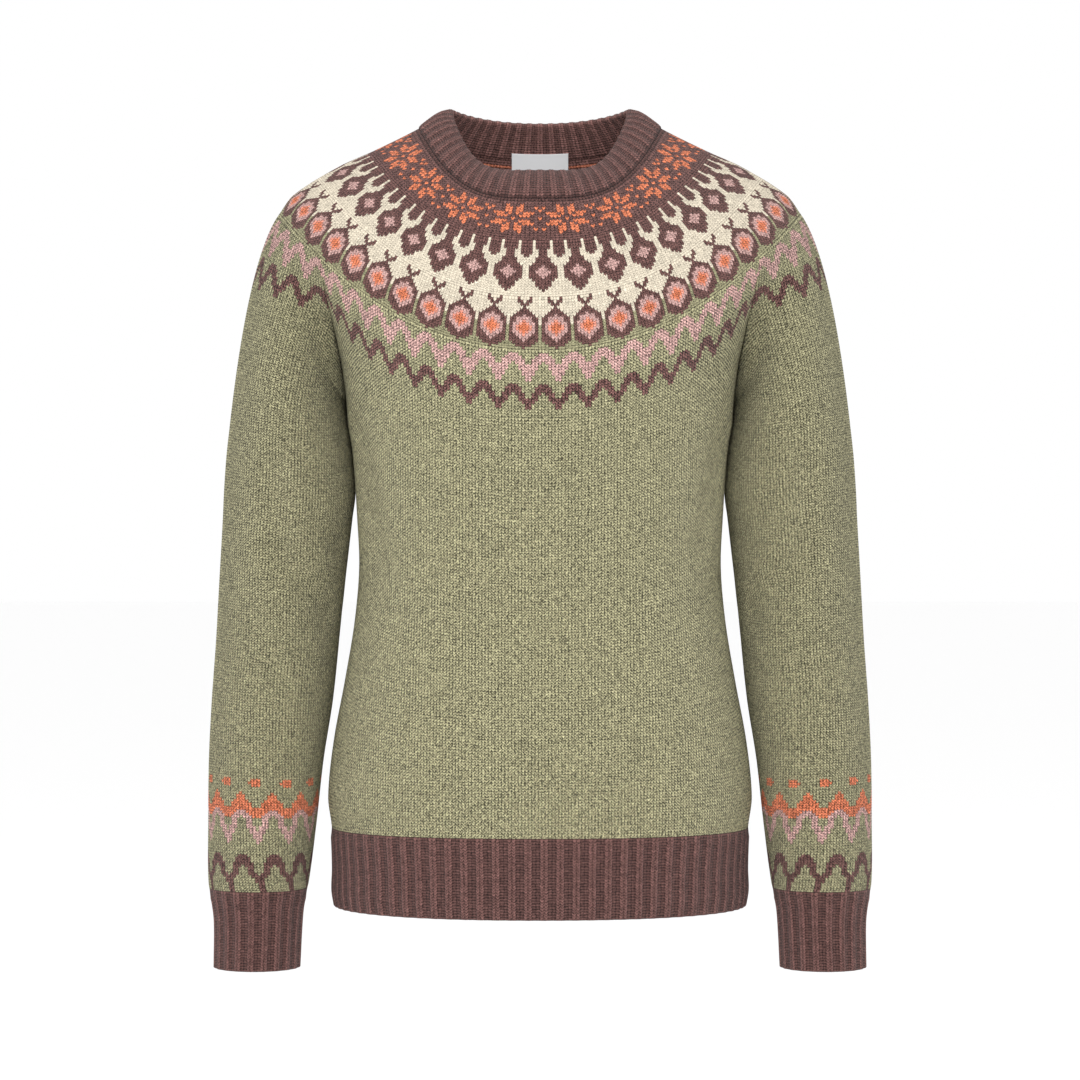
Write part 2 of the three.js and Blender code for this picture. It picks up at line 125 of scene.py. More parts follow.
def yoke_point(angle, drop):
    """The outer surface from the neckband's edge to the yoke's lower edge: a round point of the ring at
    this drop, whose height falls from the shoulder to the middle as one minus a power of the share
    of the half width that it has reached."""
    angle, drop = np.broadcast_arrays(np.asarray(angle, float), np.asarray(drop, float))
    _, half, front, back, square, front_z, side_z, back_z, climb, back_climb = row_at(YOKE_RINGS, drop)
    x, y = round_point(half, front, back, square, angle)
    ahead = np.cos(angle) > 0
    share = 1 - np.minimum(1, np.abs(x) / half) ** np.where(ahead, climb, back_climb)
    z = side_z + (np.where(ahead, front_z, back_z) - side_z) * share
    return np.stack([x, y, z], axis=-1)


def unit(v):
    """A vector divided by its length."""
    return v / np.maximum(np.linalg.norm(v, axis=-1, keepdims=True), 1e-12)


def passed(points, axis=0):
    """The length of a line of points up to each of them: the running sum of the distances."""
    points = np.moveaxis(points, axis, 0)
    steps = np.linalg.norm(np.diff(points, axis=0), axis=-1)
    return np.concatenate([np.zeros((1, *steps.shape[1:])), np.cumsum(steps, axis=0)])


def even_angles(curve, start, stop, levels):
    """The angle at which a share of a curve's length between two angles has been passed, at any level:
    read from a table of levels by shares, straight lines between its entries."""
    steps = 360
    angles = np.linspace(start, stop, steps + 1)
    shares = np.linspace(0, 1, steps + 1)
    levels = np.sort(np.atleast_1d(levels).astype(float))
    lengths = passed(curve(angles[:, None], levels[None, :]))
    lengths = lengths / lengths[-1]
    table = np.array([np.interp(shares, lengths[:, i], angles) for i in range(len(levels))])

    def angle(share, level):
        """The table's value between its four nearest entries."""
        share, level = np.broadcast_arrays(np.asarray(share, float), np.asarray(level, float))
        column = np.clip(share * steps, 0, steps - 1e-6)
        line = np.interp(level, levels, np.arange(len(levels)))
        c, r = column.astype(int), np.minimum(line.astype(int), max(len(levels) - 2, 0))
        low = np.minimum(r + 1, len(levels) - 1)
        fc, fr = column - c, line - r
        upper = table[r, c] * (1 - fc) + table[r, c + 1] * fc
        lower = table[low, c] * (1 - fc) + table[low, c + 1] * fc
        return upper * (1 - fr) + lower * fr

    return angle


def outward(surface, across, down, across_span, down_span):
    """The outward normal of a surface: its slope down crossed with its slope across, each measured over
    a short way that stops at the surface's edges."""
    reach = 1e-3
    left, right = np.maximum(across - reach, across_span[0]), np.minimum(across + reach, across_span[1])
    up, low = np.maximum(down - reach, down_span[0]), np.minimum(down + reach, down_span[1])
    sideways = surface(right, down) - surface(left, down)
    downwards = surface(across, low) - surface(across, up)
    return unit(np.cross(downwards, sideways))


def zipped(a, a_at, b, b_at):
    """Triangles between two lines of points, stepping along the line whose next point comes first."""
    i = j = 0
    out = []
    while i < len(a) - 1 or j < len(b) - 1:
        if j == len(b) - 1 or (i < len(a) - 1 and a_at[i + 1] <= b_at[j + 1]):
            out.append((a[i], a[i + 1], b[j]))
            i += 1
        else:
            out.append((a[i], b[j + 1], b[j]))
            j += 1
    return np.array(out)


class Wall:
    """The points and faces of one piece of cloth, with each corner's place in stitches and rows and each
    face's yarn colour."""

    def __init__(self):
        self.points, self.count = [], 0
        self.faces, self.places, self.colours = [], [], []

    def add_points(self, points):
        """Keeps a grid of points; their numbers come back as a grid."""
        ids = np.arange(self.count, self.count + points[..., 0].size).reshape(points.shape[:-1])
        self.points.append(points.reshape(-1, 3))
        self.count += ids.size
        return ids

    def add_ring(self, points):
        """Keeps a grid of points whose last column is its first again, and numbers it so."""
        ids = self.add_points(points[:, :-1])
        return np.concatenate([ids, ids[:, :1]], axis=1)

    def add_faces(self, faces, places, colours):
        """Keeps faces by their points' numbers, each corner's place and each face's colour."""
        self.faces.append(faces)
        self.places.append(places)
        self.colours.append(colours)

    def add_cells(self, ids, column, row, colours, inside=False):
        """One face for each cell of a grid, a triangle where a side of the cell has no length."""
        corners = [np.s_[:-1, :-1], np.s_[1:, :-1], np.s_[1:, 1:], np.s_[:-1, 1:]]
        faces = np.stack([ids[c] for c in corners], axis=-1).reshape(-1, 4)
        places = [np.stack([column[c], row[c]], axis=-1) for c in corners]
        places = np.stack(places, axis=-2).reshape(-1, 4, 2)
        colours = colours.reshape(-1, 3)
        top, bottom = faces[:, 0] == faces[:, 3], faces[:, 1] == faces[:, 2]
        whole = ~top & ~bottom
        for chosen, keep in (
            (whole, [0, 1, 2, 3]),
            (top & ~bottom, [0, 1, 2]),
            (bottom & ~top, [0, 1, 3]),
        ):
            order = keep[::-1] if inside else keep
            if chosen.any():
                self.add_faces(faces[chosen][:, order], places[chosen][:, order], colours[chosen])

    def add_rim(self, a, a_at, b, b_at, colour, flip, place=(0.5, 0.5)):
        """Triangles between an outer and an inner edge, all at one place of a stitch."""
        faces = zipped(a, a_at, b, b_at)
        if flip:
            faces = faces[:, ::-1]
        places = np.tile(np.array(place, float), (len(faces), 3, 1))
        self.add_faces(faces, places, np.tile(colour, (len(faces), 1)))

    def build(self, name, material, mirror=False):
        """The mesh object, in metres, smooth but for its rims."""
        points = np.concatenate(self.points) / 1000
        faces, places = self.faces, self.places
        if mirror:
            points = points * (-1, 1, 1)
            faces, places = [f[:, ::-1] for f in faces], [p[:, ::-1] for p in places]
        corners = np.concatenate([f.ravel() for f in faces])
        sizes = np.concatenate([np.full(len(f), f.shape[1]) for f in faces])
        used, corners = np.unique(corners, return_inverse=True)
        mesh = bpy.data.meshes.new(name)
        mesh.vertices.add(len(used))
        mesh.vertices.foreach_set("co", points[used].astype(np.float32).ravel())
        mesh.loops.add(len(corners))
        mesh.loops.foreach_set("vertex_index", corners.astype(np.int32))
        mesh.polygons.add(len(sizes))
        mesh.polygons.foreach_set("loop_start", (np.cumsum(sizes) - sizes).astype(np.int32))
        mesh.polygons.foreach_set("use_smooth", np.ones(len(sizes), bool))
        mesh.update(calc_edges=True)
        uv = mesh.uv_layers.new(name="stitches")
        uv.data.foreach_set("uv", np.concatenate([p.reshape(-1) for p in places]).astype(np.float32))
        tint = mesh.attributes.new("yarn_colour", "FLOAT_COLOR", "FACE")
        rgba = np.concatenate([np.concatenate(self.colours), np.ones((len(sizes), 1))], axis=1)
        tint.data.foreach_set("color", rgba.astype(np.float32).ravel())
        mesh.set_sharp_from_angle(angle=np.radians(60))
        mesh.materials.append(material)
        piece = bpy.data.objects.new(name, mesh)
        bpy.context.scene.collection.objects.link(piece)
        return piece


def heather(rows, columns, seed, amount=0.08):
    """How light each stitch of a heathered yarn is: one plus noise of its own, and plus slower noise
    that runs along the row, as the yarn does: a fifth of a mean over eight stitches, made as strong as
    one stitch's noise."""
    dice = np.random.default_rng(seed)
    single = dice.normal(0, amount, (rows, columns))
    along = dice.normal(0, amount, rows * columns + 7)
    slow = np.convolve(along, np.full(8, 1 / 8), "valid").reshape(rows, columns) * 8**0.5
    darkest, lightest = 0.55, 1.5
    return np.clip(1 + single + 0.2 * slow, darkest, lightest)[..., None]


def chart_colours(chart, rows, stitches):
    """The yarn of each stitch: a chart repeated sideways. rows and stitches are whole-number grids."""
    table = np.array([[YARNS[letter] for letter in line] for line in chart])
    return table[rows, stitches % len(chart[0])]


BAND_HEIGHT = 33
ALL_ROUND = (-9, 9)  # shares of a ring, which has no edge sideways
RING_DROPS = (-BAND_HEIGHT, YOKE_DEPTH)
EDGE_SHADE = 0.8  # how light the cut edges and the insides of the ribbing are beside the yarn
PAINTED_COLLAR_SHADE = 0.6  # painted shade: how light the rows deep in the neckband's seam are beside their yarn, for the shadow under the collar
yoke_angle = even_angles(yoke_point, 0, 2 * np.pi, np.linspace(-BAND_HEIGHT, YOKE_DEPTH, 152))


def ring_surface(share, drop):
    """The outer surface by share of the way round from the front centre, and drop."""
    return yoke_point(yoke_angle(share % 1, drop), drop)


def seamless(rows):
    """Row numbers whose first and last are moved a twentieth of a row inwards, so that the painted shade
    of the groove between rows is fainter along a join."""
    rows = rows.astype(float)
    rows[0], rows[-1] = rows[0] + 0.05, rows[-1] - 0.05
    return rows


def knit_ring(wall, chart, repeats, first, half, start, seed, trim=(0, 0)):
    """A band knitted round. Each stitch is two slanting faces, its sides sunk and its middle hanging
    LEG_DROP rows lower than its sides, less near the band's edges. first is the chart's column at the
    front centre, and half is 0.5 where the front centre is the side of a stitch."""
    rows, stitches = len(chart), repeats * len(chart[0])
    h = np.arange(2 * stitches + 1)
    r = np.arange(rows + 1)
    share = np.broadcast_to((h / 2 + half) / stitches, (rows + 1, len(h)))
    slant = np.clip(np.minimum(r / 2, (rows - r) / 3), 0, 1)
    lowered = slant[:, None] * (h % 2 == 0)[None, :] * LEG_DROP
    drop = start + (r[:, None] + lowered) * ROW
    drop = np.clip(drop, start + trim[0], start + rows * ROW - trim[1])
    normal = outward(ring_surface, share, drop, ALL_ROUND, RING_DROPS)
    points = ring_surface(share, drop) - normal * SUNK * (h % 2)[None, :, None]
    ids = wall.add_ring(points)
    row = np.broadcast_to(seamless(r)[:, None], ids.shape)
    column = np.broadcast_to(h[None, :] / 2 + 0.5, ids.shape)
    stitch = np.floor((h[:-1] + 0.5) / 2 + 0.5).astype(int)
    cell_rows = np.broadcast_to(r[:-1, None], (rows, 2 * stitches))
    colours = chart_colours(chart, cell_rows, np.broadcast_to(stitch + first, cell_rows.shape))
    colours = colours * heather(rows, stitches, seed)[:, stitch % stitches]
    # The yoke's first row gets painted shade for the shadow under the collar.
    if start == 0:
        colours[0] = colours[0] * PAINTED_COLLAR_SHADE
    wall.add_cells(ids, column, row, colours)
    return ids, share[0]


def line_ring(wall, ids, share, start, depth, stitches, colours, trim=(0, 0)):
    """The inside of a band, at the cloth's thickness under it, and the rims between the two. Each face
    covers several stitches of one row."""
    down, around = colours.shape[:2]
    inner_share = np.broadcast_to(np.arange(around + 1) / around, (down + 1, around + 1)) + share[0]
    drop = np.linspace(start + trim[0], start + depth - trim[1], down + 1)[:, None] + 0 * inner_share
    normal = outward(ring_surface, inner_share, drop, ALL_ROUND, RING_DROPS)
    inner = wall.add_ring(ring_surface(inner_share, drop) - normal * CLOTH)
    column = inner_share * stitches
    row = np.broadcast_to(np.linspace(0, depth / ROW, down + 1)[:, None], inner.shape)
    wall.add_cells(inner, column, row, colours, inside=True)
    for line, flip in ((0, False), (-1, True)):
        wall.add_rim(ids[line], share, inner[line], inner_share[0], YARNS["B"] * EDGE_SHADE, flip)


STAR = [
    "BBBBBBBBBBBBBB",
    "BBBBBBBBBBBBBB",
    "BBBOBBBOBBBBBB",
    "BBBOOBOOBBBOBO",
    "BBBOOBOOBBBBOB",
    "OOOBOBOBOOOBBB",
    "BOOOBBBOOOBBBB",
    "BBBBBOBBBBBBOB",
    "BOOOBBBOOOBBBB",
    "OOOBOBOBOOOBBB",
    "BBBOOBOOBBBBBB",
    "BBBOOBOOBBBOBO",
    "BBBOBBBOBBBBBB",
    "BBBBBBBBBBBBBB",
    "BBBBBBBBBBBBBB",
    "BBBBBBBBBBBBBB",
]
DROP = [
    "BBCBBBBBCBB",
    "BBCBBBBBCBB",
    "BBCBBBBBCBB",
    "BBCCBBBCCBB",
    "BBCCBBBCCBB",
    "BCCCBBBCCCB",
    "CCCBBBBBCCC",
    "CCCBBBBBCCC",
    "CCBBBBBBBCC",
    "CBBBBPBBBBC",
    "CBBBPPPBBBC",
    "CBBPPPPPBBC",
    "CBBBPPPBBBC",
    "CBBBBPBBBBC",
    "CCBBBBBBBCC",
    "CCCBBBBBCCC",
    "CCCBBBBBCCC",
    "CCCCBBBCCCC",
    "CCCCCBCCCCC",
    "CCCCCCCCCCC",
    "CCCCCCCCCCC",
]
ROUNDEL = [
    "CCBCCCBCCC",
    "CCBBCBBCCC",
    "CCCBBBCCCC",
    "CCCCBCCCCC",
    "CCCBBBCCCC",
    "CCBBBBBCCC",
    "CBBBPBBBCC",
    "BBPPPPPBBC",
    "BBPPSPPBBC",
    "BPPSOSPPBC",
    "BPSOOOSPBG",
    "BPSOOOSPBG",
    "BPPSOSPPBG",
    "BBPPSPPBBG",
    "BBBPPPBBBG",
    "BBBBPBBBBG",
    "GBBBBBBBGG",
    "GGBBBBBGGG",
    "GGGGBGGGGG",
]


def group_node(name, inputs, outputs):
    """An empty node group with named inputs and outputs, and its two ends."""
    tree = bpy.data.node_groups.new(name, "ShaderNodeTree")
    for label, kind, value in inputs:
        socket = tree.interface.new_socket(name=label, in_out="INPUT", socket_type=kind)
        if value is not None:
            socket.default_value = value
    for label, kind in outputs:
        tree.interface.new_socket(name=label, in_out="OUTPUT", socket_type=kind)
    return tree, tree.nodes.new("NodeGroupInput"), tree.nodes.new("NodeGroupOutput")


def computed(tree, operation, *values):
    """A math node's output, from sockets or plain numbers."""
    node = tree.nodes.new("ShaderNodeMath")
    node.operation = operation
    for socket, value in zip(node.inputs, values):
        if isinstance(value, bpy.types.NodeSocket):
            tree.links.new(value, socket)
        else:
            socket.default_value = value
    return node.outputs[0]


# The yarn of every knitted piece. A stitch stands up round: one, less a power of the way to its sides,
# a narrow notch between its two legs and the square of the way to the next row. This height is painted
# into the colour as light and shade: painted highlight on the legs, painted shade in the grooves. Smooth
# noise sways its edges, as hand-loose yarn does, and its third channel stands for fibres. All of it
# tells more in dark yarn, which throws less light into its own grooves: 1.25 less 1.6 times the yarn's
# lightness.
yarn, given, result = group_node(
    "knitted_yarn",
    [
        ("Yarn colour", "NodeSocketColor", None),
        ("Stitch place", "NodeSocketVector", None),
        ("Cloth place", "NodeSocketVector", None),
        ("Groove", "NodeSocketFloat", 1.0),
        ("Fibre", "NodeSocketFloat", 1.0),
    ],
    [("Colour", "NodeSocketColor"), ("Height", "NodeSocketFloat")],
)
noise = yarn.nodes.new("ShaderNodeTexNoise")
noise.inputs["Scale"].default_value = 900.0
noise.inputs["Detail"].default_value = 3.0
noise.inputs["Roughness"].default_value = 0.6
yarn.links.new(given.outputs["Cloth place"], noise.inputs["Vector"])
centred = yarn.nodes.new("ShaderNodeVectorMath")
centred.operation = "SUBTRACT"
centred.inputs[1].default_value = (0.5, 0.5, 0.5)
yarn.links.new(noise.outputs["Color"], centred.inputs[0])
swayed = yarn.nodes.new("ShaderNodeVectorMath")
swayed.operation = "MULTIPLY_ADD"
swayed.inputs[1].default_value = (0.9, 0.9, 0.0)
yarn.links.new(centred.outputs[0], swayed.inputs[0])
yarn.links.new(given.outputs["Stitch place"], swayed.inputs[2])
stitch_way = yarn.nodes.new("ShaderNodeSeparateXYZ")
yarn.links.new(swayed.outputs[0], stitch_way.inputs[0])
fibre_way = yarn.nodes.new("ShaderNodeSeparateXYZ")
yarn.links.new(centred.outputs[0], fibre_way.inputs[0])
across_way = computed(yarn, "MULTIPLY_ADD", computed(yarn, "FRACT", stitch_way.outputs[0]), 2.0, -1.0)
across_way = computed(yarn, "ABSOLUTE", across_way)
level_way = computed(yarn, "MULTIPLY_ADD", computed(yarn, "FRACT", stitch_way.outputs[1]), 2.0, -1.0)
side_fall = computed(yarn, "MULTIPLY", computed(yarn, "POWER", across_way, 2.5), 0.7)
middle_way = computed(yarn, "SUBTRACT", 1.0, across_way)
middle_fall = computed(yarn, "MULTIPLY", computed(yarn, "POWER", middle_way, 6.0), 0.2)
level_fall = computed(yarn, "MULTIPLY", computed(yarn, "MULTIPLY", level_way, level_way), 0.9)
falls = computed(yarn, "ADD", computed(yarn, "ADD", side_fall, middle_fall), level_fall)
strand = computed(yarn, "SUBTRACT", 1.0, falls)
fuzz = computed(yarn, "MULTIPLY", fibre_way.outputs[2], given.outputs["Fibre"])
lightness = yarn.nodes.new("ShaderNodeRGBToBW")
yarn.links.new(given.outputs["Yarn colour"], lightness.inputs[0])
telling = computed(yarn, "MULTIPLY_ADD", lightness.outputs[0], -1.6, 1.25)
telling = computed(yarn, "MAXIMUM", telling, 0.25)
# The yarn's colour is lightened and darkened by the height as painted light and shade, and by the
# fibres.
from_mean = computed(yarn, "SUBTRACT", strand, 0.47)
grooves = computed(yarn, "MULTIPLY_ADD", from_mean, given.outputs["Groove"], fuzz)
lit = computed(yarn, "MAXIMUM", computed(yarn, "MULTIPLY_ADD", grooves, telling, 1.0), 0.15)
tinted = yarn.nodes.new("ShaderNodeVectorMath")
tinted.operation = "SCALE"
yarn.links.new(given.outputs["Yarn colour"], tinted.inputs[0])
yarn.links.new(lit, tinted.inputs["Scale"])
yarn.links.new(tinted.outputs[0], result.inputs["Colour"])
yarn.links.new(computed(yarn, "MULTIPLY_ADD", fuzz, 0.3, strand), result.inputs["Height"])


def yarn_material(name, groove, fibre):
    """Matt wool: the yarn group's colour, with the stitches' painted light and shade, and its height, a
    soft sheen, no gloss.
    """
    material = bpy.data.materials.new(name)
    material.use_nodes = True
    tree = material.node_tree
    shader = tree.nodes["Principled BSDF"]
    group = tree.nodes.new("ShaderNodeGroup")
    group.node_tree = yarn
    group.inputs["Groove"].default_value = groove
    group.inputs["Fibre"].default_value = fibre
    tint = tree.nodes.new("ShaderNodeAttribute")
    tint.attribute_name = "yarn_colour"
    stitches = tree.nodes.new("ShaderNodeUVMap")
    stitches.uv_map = "stitches"
    place = tree.nodes.new("ShaderNodeTexCoord")
    bump = tree.nodes.new("ShaderNodeBump")
    bump.inputs["Distance"].default_value = 0.001
    bump.inputs["Strength"].default_value = 0.7
    tree.links.new(tint.outputs["Color"], group.inputs["Yarn colour"])
    tree.links.new(stitches.outputs[0], group.inputs["Stitch place"])
    tree.links.new(place.outputs["Object"], group.inputs["Cloth place"])
    tree.links.new(group.outputs["Colour"], shader.inputs["Base Color"])
    tree.links.new(group.outputs["Height"], bump.inputs["Height"])
    tree.links.new(bump.outputs[0], shader.inputs["Normal"])
    shader.inputs["Roughness"].default_value = 0.95
    shader.inputs["Specular IOR Level"].default_value = 0.15
    shader.inputs["Sheen Weight"].default_value = 0.08
    shader.inputs["Sheen Roughness"].default_value = 0.5
    return material


LINING_ROUND = 140  # faces round the inside of the yoke
yoke_wool = yarn_material("yoke_wool", 1.05, 3.6)
yoke_wall = Wall()
for chart, repeats, first, half, start, seed in (
    (STAR, 17, 12, 0.0, 0, 11),
    (DROP, 34, 4, 0.0, len(STAR) * ROW, 12),
    (ROUNDEL, 44, 9, 0.0, (len(STAR) + len(DROP)) * ROW, 13),
):
    trim = (SEAM if start == 0 else 0, SEAM if chart is ROUNDEL else 0)
    ids, share = knit_ring(yoke_wall, chart, repeats, first, half, start, seed, trim)
    # Inside, floats of both yarns cross each row, so a row has the mean of its colours.
    floats = np.array([np.mean([YARNS[letter] for letter in line], axis=0) for line in chart])
    # How light each lining is painted beside its floats.
    lining_painted_light = 0.9
    if chart is STAR:
        # Its upper rows show through the neck, brown with an orange row in four, in weaker light, so
        # they get painted light: 1.7 times their colour.
        orange_row = np.arange(len(chart))[:, None] % 4 == 3
        floats = np.where(orange_row, 0.45 * YARNS["O"] + 0.4 * YARNS["B"], YARNS["B"])
        lining_painted_light = 1.7
    lining = floats[:, None, :] * heather(len(chart), LINING_ROUND, seed + 3, 0.1) * lining_painted_light
    line_ring(yoke_wall, ids, share, start, len(chart) * ROW, repeats * len(chart[0]), lining, trim)
yoke = yoke_wall.build("yoke_knitting", yoke_wool)
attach(yoke, "root")
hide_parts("yoke")

# Front, back and sleeves: plain knitting in the heathered green, with two rows of zigzags right under
# the yoke. Each is knitted on from the yoke and widens at its raglan seams, and the pieces are sewn
# down the raglans, the sides and under the arms.
UNDERARM_Z = -225
RIB_TOP_Z = -539
CUFF_TOP_Z = -585
FIXED_ROWS = 22  # rows that keep their distance from the yoke, before the rest share out the length

# z, half width, front, back, squareness
BODY_SECTIONS = np.array([
    (-225, 149.85, 122, 104, 2.35),
    (-250, 145.9, 121.5, 102.5, 2.35),
    (-300, 142.4, 118.5, 98, 2.35),
    (-335, 141, 115, 95.5, 2.35),
    (-378, 144.3, 112.5, 97, 2.4),
    (-425, 152, 113, 102, 2.4),
    (-472, 160.7, 116, 107.5, 2.4),
    (-515, 165, 118.5, 110.5, 2.4),
    (-539, 162.2, 118, 109.5, 2.35),
    (-570, 161, 118, 108.5, 2.25),
    (-588, 161.5, 118.5, 109, 2.2),
    (-600, 159.6, 118, 108, 2.2),
])
# z, centre x, centre y, half width, half depth of the left sleeve
SLEEVE_SECTIONS = np.array([
    (-225, 196, 4, 45.85, 58),
    (-250, 195.4, 4.5, 49.3, 57),
    (-278, 195.4, 5, 51.3, 56),
    (-300, 197.2, 5.5, 50.5, 55.5),
    (-347, 201.2, 6, 49.2, 54),
    (-394, 204.8, 4, 48, 52.5),
    (-441, 208.7, 0, 47.1, 50.5),
    (-487, 213, -6, 44.5, 47.5),
    (-534, 215.4, -12, 42, 44.5),
    (-581, 218, -17, 38.7, 41),
    (-597, 218.2, -18.5, 34.8, 37),
    (-612, 218.1, -19.5, 33.2, 35),
    (-646, 218.9, -22, 32.4, 34.2),
])
# Creases, each from a turn in degrees and a z to another, with a width and a depth
SLEEVE_CREASES = (
    (-78, -262, -90, -328, 11, 3),
    (-90, -328, -145, -372, 12, 4.5),
    (-150, -318, -118, -300, 10, 2),
    (150, -345, 95, -372, 13, 3),
    (160, -380, 110, -402, 12, 2.4),
)
BODY_CREASES = (
    (66, -238, 58, -318, 16, 3),
    (116, -236, 124, -306, 16, 3),
    (76, -345, 48, -372, 14, 2),
    (150, -352, 112, -334, 14, 2.4),
)


def crease_depth(creases, radius, turn, z):
    """How far creases press a place inwards: each a trough of bell shape along a line on the cloth."""
    depth = 0
    for from_turn, from_z, to_turn, to_z, width, deep in creases:
        start = np.array([np.radians(from_turn) * radius, from_z])
        along = np.array([np.radians(to_turn) * radius, to_z]) - start
        place = np.stack(np.broadcast_arrays(turn * radius - start[0], z - start[1]), axis=-1)
        share = np.clip(place @ along / (along @ along), 0, 1)
        away = np.linalg.norm(place - share[..., None] * along, axis=-1) / width
        depth = depth + deep * np.exp(-away * away)
    return depth


def body_point(angle, z):
    """The body below the underarm: a round point of the section at z, less the creases' depth."""
    angle, z = np.broadcast_arrays(np.asarray(angle, float), np.asarray(z, float))
    _, half, front, back, square = row_at(BODY_SECTIONS, z)
    x, y = round_point(half, front, back, square, angle)
    turn = np.abs(np.arctan2(np.sin(angle), np.cos(angle)))
    keep = 1 - crease_depth(BODY_CREASES, 135, turn, z) / np.hypot(x, y - MID_Y)
    return np.stack([x * keep, MID_Y + (y - MID_Y) * keep, z], axis=-1)


def sleeve_point(turn, z):
    """The left sleeve below the underarm: an ellipse about the arm, less the creases' depth. turn is 0
    outside the arm and negative in front of it."""
    turn, z = np.broadcast_arrays(np.asarray(turn, float), np.asarray(z, float))
    _, x, y, half, deep = row_at(SLEEVE_SECTIONS, z)
    pressed = crease_depth(SLEEVE_CREASES, 50, turn, z)
    x = x + (half - pressed) * np.cos(turn)
    y = y + (deep - pressed) * np.sin(turn)
    return np.stack([x, y, z], axis=-1)


def between_point(angle, hang, near_seam, t):
    """The cloth from the yoke's edge to the underarm: a cubic that leaves the way the yoke slopes,
    leaning inwards at a raglan seam, and arrives the way the piece hangs below."""
    start = yoke_point(angle, YOKE_DEPTH)
    leaving = unit(start - yoke_point(angle, YOKE_DEPTH - 1))
    inwards = -np.sign(np.sin(angle) * np.cos(angle)) * 0.01
    aside = unit(yoke_point(angle + inwards, YOKE_DEPTH) - start)
    seam = (near_seam**4)[..., None]
    leaving = unit(leaving + aside * 0.9 * seam)
    end = hang(UNDERARM_Z)
    arriving = unit(hang(UNDERARM_Z - 1) - end)
    arriving = unit(arriving + (np.array([0, 0, -1]) - arriving) * seam)
    length = np.linalg.norm(end - start, axis=-1, keepdims=True)
    return hermite(start, leaving * 0.62 * length, end, arriving * length, t[..., None])


def piece_surface(edge, angle_at, point, low_z):
    """A piece by across, from -1 to 1, and down: 0 to 1 from yoke to underarm, 1 to 2 to the
    ribbing."""

    def surface(across, down):
        """The cubic above the underarm, and the piece's own section below it."""
        across, down = np.broadcast_arrays(np.asarray(across, float), np.asarray(down, float))
        share = (across + 1) / 2
        z = UNDERARM_Z + (low_z - UNDERARM_Z) * np.maximum(down - 1, 0)
        angle = angle_at(share, z)
        start = edge(share, YOKE_DEPTH)
        upper = between_point(
            start, lambda level: point(angle, level), np.abs(across), np.minimum(down, 1)
        )
        return np.where((down > 1)[..., None], point(angle, z), upper)

    return surface


RAGLANS = np.radians([53, 127])
body_levels = np.linspace(-600, -225, 76)
sleeve_levels = np.linspace(-646, -225, 86)
front_angle = even_angles(body_point, -np.pi / 2, np.pi / 2, body_levels)
back_angle = even_angles(body_point, np.pi / 2, 3 * np.pi / 2, body_levels)
front_surface = piece_surface(
    even_angles(yoke_point, -RAGLANS[0], RAGLANS[0], YOKE_DEPTH),
    front_angle,
    body_point,
    RIB_TOP_Z,
)
back_surface = piece_surface(
    even_angles(yoke_point, RAGLANS[1], 2 * np.pi - RAGLANS[1], YOKE_DEPTH),
    back_angle,
    body_point,
    RIB_TOP_Z,
)
sleeve_surface = piece_surface(
    even_angles(yoke_point, RAGLANS[0], RAGLANS[1], YOKE_DEPTH),
    even_angles(sleeve_point, -np.pi, np.pi, sleeve_levels),
    sleeve_point,
    CUFF_TOP_Z,
)

ZIGZAGS = [
    "GGGGGGGGG",
    "GGGPPPGGG",
    "GGPPPPPGG",
    "GPPPPPPPG",
    "GPPPGPPPG",
    "PPPGGGPPP",
    "PPPGGGPPP",
    "PPGGGGGPP",
    "PPGGGGGPP",
    "PGGGGGGGP",
    "PGGGGGGGP",
    "GGGGGGGGG",
    "GGGBBBGGG",
    "GGBBBBBGG",
    "GGBBBBBGG",
    "GBBBGBBBG",
    "GBBGGGBBG",
    "BBBGGGBBB",
    "BBGGGGGBB",
    "BGGGGGGGB",
    "BGGGGGGGB",
]
ARM_PATTERN = [
    "GGGGOOOGGG",
    "GGGGOOOOGG",
    "GGGGOOOGGG",
    "GGGGGGGGGG",
    "GGGGGGGGGG",
    "OGGGGGGGGG",
    "OOGGGGGGGO",
    "OOGGGGGGGO",
    "OOOGGGGGOO",
    "OOOOGGGOOO",
    "OOOOGGGOOO",
    "OOOOOOOOOO",
    "PPOOOOOOOP",
    "PPPOOOOOPP",
    "GPPPOOOPPP",
    "GGPPGGGPPG",
    "GGPPGGGPPG",
    "GGPPGGGPPG",
    "GGPPPGPPPG",
    "GGGPPGPPGG",
    "GGGPPPPPGG",
    "GGGGPPPGGG",
    "GGGGPPPGGG",
    "GGGGPPGGGG",
    "GGGGGPGGGG",
    "GGGGGGGGGG",
    "GGGGGGGGGG",
    "GGGGGGGGGG",
    "GGGGGGGGGG",
    "BBGGGGGGGB",
    "BBBGGGGGBB",
    "BBBGGGGGBB",
    "BBBBGGGBBB",
    "GBBBGGGBBB",
    "GGBBGGGBBG",
    "GGBBGGGBBG",
    "GGBBBGBBBG",
    "GGGBBBBBGG",
    "GGGGBBBGGG",
    "GGGGBBBGGG",
    "GGGGBBGGGG",
    "GGGGBBGGGG",
    "GGGGBBGGGG",
    "GGGGBBGGGG",
]


OVER_THE_ARM = 0.35  # how much taller the rows under the yoke are over the top of an arm
ARM_SHADE = 0.86  # the sleeves hang turned away from the light
LINING_COLUMNS, LINING_ROWS = 40, 5  # faces across the inside, and the rows that each covers


